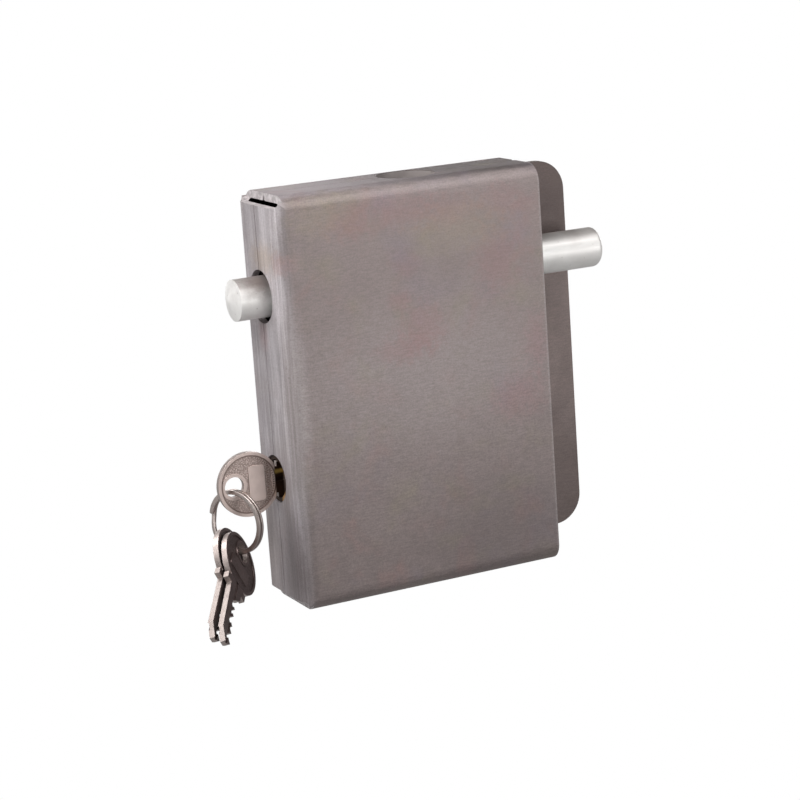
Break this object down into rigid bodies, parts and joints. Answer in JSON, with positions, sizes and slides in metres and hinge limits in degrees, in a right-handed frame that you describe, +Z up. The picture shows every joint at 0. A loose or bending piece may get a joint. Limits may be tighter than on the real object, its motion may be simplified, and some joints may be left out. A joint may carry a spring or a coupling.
{
  "type": "deadlock",
  "caption": "Weld-on gate deadlock: flat pressed steel case, round bolt sliding right through it, key cylinder at the side and keys on a ring.",
  "frame": {"origin": "centre of the case's rear face, the face that is welded on", "axes": "+X along the bolt, the way it is thrown; +Y out of the rear face; +Z up"},
  "size_m": [0.1923, 0.0577, 0.16],
  "materials": {
    "case_steel": "bare rolled mild steel, dull, faint stains",
    "plate_steel": "bare hot rolled plate",
    "weld_metal": "as welded",
    "bolt_steel": "bright satin bar",
    "turned_steel": "turned",
    "spring_steel": "drawn wire",
    "screw_steel": "zinc plated",
    "barrel_brass": "turned, darkened",
    "plug_brass": "turned",
    "pin_brass": "turned",
    "key_nickel": "nickel plated, worn satin",
    "ring_steel": "nickel plated, bright"
  },
  "bodies": {
    "case": {"front_shell": "case_steel", "rear_shell": "case_steel", "right_end_plate": "plate_steel", "left_bolt_guide": "plate_steel", "middle_bolt_guide": "plate_steel", "weld_beads": "weld_metal", "upper_bar_guide": "plate_steel", "lower_bar_guide": "plate_steel", "cylinder_bracket": "plate_steel", "bracket_screws": "screw_steel", "cylinder_barrel": "barrel_brass", "chamber_cover": "barrel_brass", "driver_pins": "pin_brass", "driver_springs": "spring_steel"},
    "bolt_set": {"bolt": "bolt_steel", "stop_collar": "turned_steel", "collar_roll_pin": "spring_steel"},
    "bar": {"locking_bar": "plate_steel"},
    "plug_set": {"cylinder_plug": "plug_brass", "key_pins": "pin_brass", "crank": "turned_steel", "crank_pin": "turned_steel", "crank_screw": "screw_steel"},
    "lock_key": {"key": "key_nickel"},
    "ring": {"key_ring": "ring_steel"},
    "spare_1": {"spare_key_1": "key_nickel"},
    "spare_2": {"spare_key_2": "key_nickel"}
  },
  "joints": [
    {"name": "bolt_slide", "type": "slide", "parent": "case", "child": "bolt_set", "axis": [1, 0, 0], "range_m": [-0.035, 0]},
    {"name": "plug_turn", "type": "hinge", "parent": "case", "child": "plug_set", "pos_m": [-0.045, -0.0185, -0.03], "axis": [1, 0, 0], "range_deg": [0, 90]},
    {"name": "bar_lift", "type": "slide", "parent": "case", "child": "bar", "axis": [0, 0, 1], "range_m": [0, 0.0086]},
    {"name": "key_draw", "type": "slide", "parent": "plug_set", "child": "lock_key", "axis": [-1, 0, 0], "range_m": [0, 0.034]},
    {"name": "ring_swing", "type": "hinge", "parent": "lock_key", "child": "ring", "pos_m": [-0.0737, -0.0185, -0.032], "axis": [-0.4431, 0.8965, 0], "range_deg": [0, 60]},
    {"name": "spare_key_1_swing", "type": "hinge", "parent": "ring", "child": "spare_1", "pos_m": [-0.07293, -0.01811, -0.05684], "axis": [-0.7425, 0.6136, -0.2687], "range_deg": [0, 60]},
    {"name": "spare_key_2_swing", "type": "hinge", "parent": "ring", "child": "spare_2", "pos_m": [-0.07509, -0.01573, -0.05547], "axis": [-0.7337, 0.627, -0.2618], "range_deg": [0, 60]}
  ],
  "couplings": [
    {"joint": "bar_lift", "follows": "plug_turn", "m_per_rad": 0.0054019}
  ]
}
